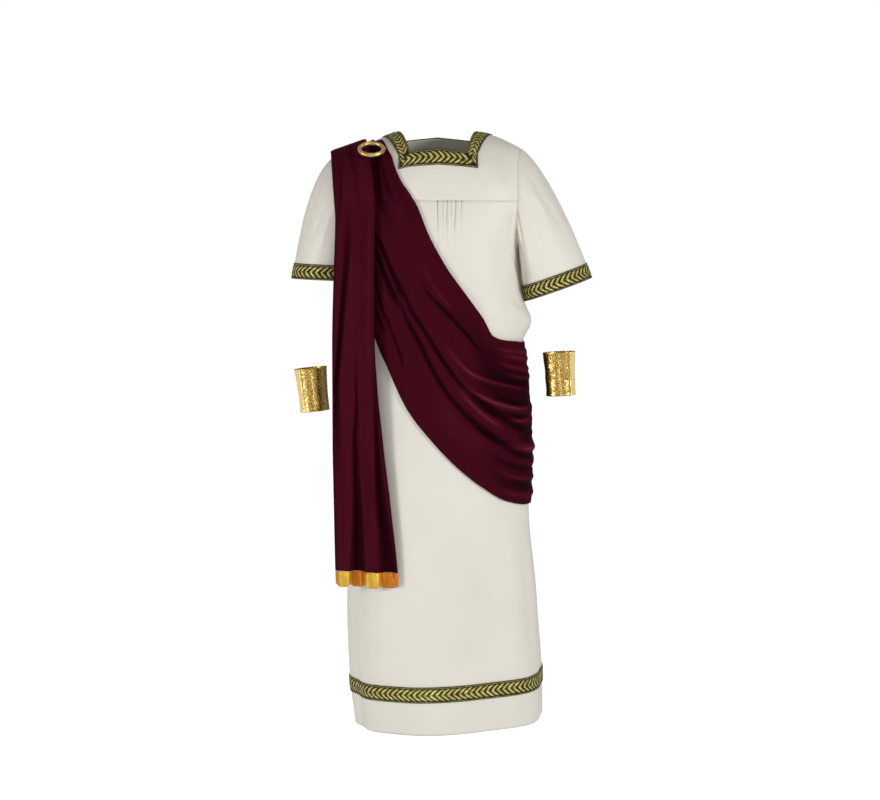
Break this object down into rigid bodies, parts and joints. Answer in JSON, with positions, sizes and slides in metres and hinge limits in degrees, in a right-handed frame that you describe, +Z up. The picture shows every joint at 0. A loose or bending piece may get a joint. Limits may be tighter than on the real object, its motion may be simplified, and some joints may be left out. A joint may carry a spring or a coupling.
{
  "type": "roman emperor costume",
  "caption": "Worn long tunic with square neck, leaf braids and short sleeves, velvet drape over one shoulder, ring brooch and wrist cuffs.",
  "frame": {"origin": "on top of the shoulders, in the middle of the neck opening, where the wearer carries the garment", "axes": "+Z up, -Y to the front of the wearer, +X to the wearer's left"},
  "size_m": [0.6941, 0.348, 1.3722],
  "materials": {
    "cream_crepe": "off-white satin-backed crepe with a soft low sheen",
    "leaf_braid": "black-brown woven braid with metallic olive-gold leaves",
    "burgundy_velvet": "dark burgundy velvet with a short nap and pale edges of sheen",
    "gold_satin": "glossy warm gold satin",
    "gold_metal": "polished hammered gold-coloured casting",
    "gold_foil": "crackled metallic gold foil on stretch cloth"
  },
  "bodies": {
    "root": {"tunic_yoke_front": "cream_crepe", "tunic_front": "cream_crepe", "tunic_back": "cream_crepe", "sleeve_left": "cream_crepe", "sleeve_right": "cream_crepe", "neck_braid_front": "leaf_braid", "neck_braid_left": "leaf_braid", "neck_braid_right": "leaf_braid", "neck_braid_back": "leaf_braid", "sleeve_braid_left": "leaf_braid", "sleeve_braid_right": "leaf_braid", "hem_braid_front": "leaf_braid", "hem_braid_back": "leaf_braid", "drape_fall": "burgundy_velvet", "drape_fall_hem": "gold_satin", "drape_sash_front": "burgundy_velvet", "drape_sash_back": "burgundy_velvet", "brooch_ring": "gold_metal", "wrist_cuff_left": "gold_foil", "wrist_cuff_right": "gold_foil"}
  },
  "joints": []
}
